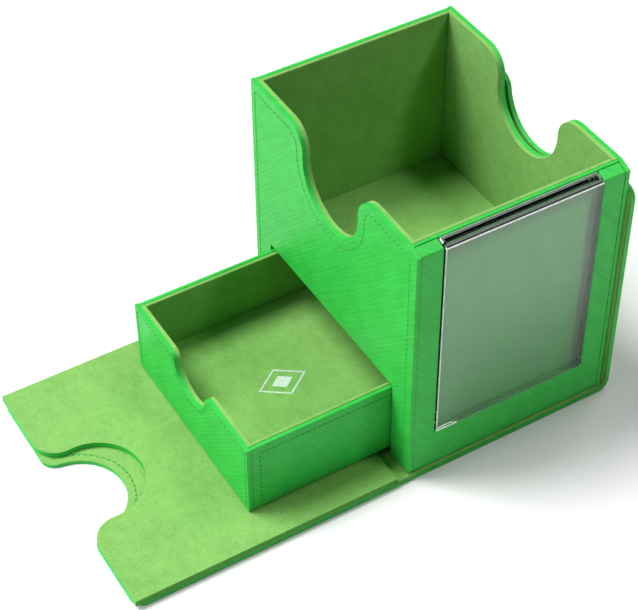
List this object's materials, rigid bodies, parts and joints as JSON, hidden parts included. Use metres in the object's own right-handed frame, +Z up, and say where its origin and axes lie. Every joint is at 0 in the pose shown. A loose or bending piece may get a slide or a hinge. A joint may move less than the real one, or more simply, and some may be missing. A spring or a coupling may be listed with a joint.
{
  "type": "card deck box",
  "caption": "Open-topped card deck box with a low sliding drawer, a clear card pocket and thumb notches, standing in a folding two-flap cover.",
  "frame": {"origin": "centre of the cover base's underside, on the surface it lies on and below the middle of the box", "axes": "+Z up; the drawer opens and the front flap lies towards -Y; the clear pocket faces +X"},
  "size_m": [0.1146, 0.2061, 0.1136],
  "materials": {
    "leatherette": "fine ribbed polyurethane leatherette over board",
    "microfibre": "short brushed nap",
    "clear_plastic": "clear polished, moulded",
    "magnet_steel": "nickel plated",
    "silver_foil": "hot-stamped foil"
  },
  "bodies": {
    "cover_base": {"cover_base_outer": "leatherette", "cover_base_inner": "microfibre", "front_fold": "leatherette", "back_fold": "leatherette"},
    "front_flap": {"front_flap_outer": "leatherette", "front_flap_inner": "microfibre", "front_flap_discs": "magnet_steel"},
    "back_flap": {"back_flap_outer": "leatherette", "back_flap_inner": "microfibre", "back_flap_discs": "magnet_steel"},
    "box": {"front_board": "leatherette", "back_board": "leatherette", "left_board": "leatherette", "display_frame": "leatherette", "display_backing": "leatherette", "bay_floor_board": "leatherette", "deck_floor_board": "leatherette", "bay_guide_left": "leatherette", "bay_guide_right": "leatherette", "lining_front": "microfibre", "lining_back": "microfibre", "lining_left": "microfibre", "lining_right": "microfibre", "lining_floor": "microfibre", "box_magnets": "magnet_steel", "pocket_back_plate": "clear_plastic", "pocket_rail_front": "clear_plastic", "pocket_rail_rear": "clear_plastic", "pocket_rail_bottom": "clear_plastic", "pocket_lens": "clear_plastic"},
    "drawer": {"drawer_front_board": "leatherette", "drawer_back_board": "leatherette", "drawer_left_board": "leatherette", "drawer_right_board": "leatherette", "drawer_floor_board": "leatherette", "drawer_lining_front": "microfibre", "drawer_lining_back": "microfibre", "drawer_lining_left": "microfibre", "drawer_lining_right": "microfibre", "drawer_lining_floor": "microfibre", "drawer_foil_motif": "silver_foil"}
  },
  "joints": [
    {"name": "box_lift", "type": "slide", "parent": "cover_base", "child": "box", "axis": [0, 0, 1], "range_m": [0, 0.12]},
    {"name": "drawer_slide", "type": "slide", "parent": "box", "child": "drawer", "axis": [0, -1, 0], "range_m": [-0.0603, 0.027]},
    {"name": "back_flap_fold", "type": "hinge", "parent": "cover_base", "child": "back_flap", "pos_m": [0, 0.04623, 0.00147], "axis": [-1, 0, 0], "range_deg": [0, 90], "deforming": ["back_fold"]},
    {"name": "front_flap_fold", "type": "hinge", "parent": "cover_base", "child": "front_flap", "pos_m": [0, -0.04623, 0.00147], "axis": [-1, 0, 0], "range_deg": [-90, 0], "deforming": ["front_fold"]}
  ]
}
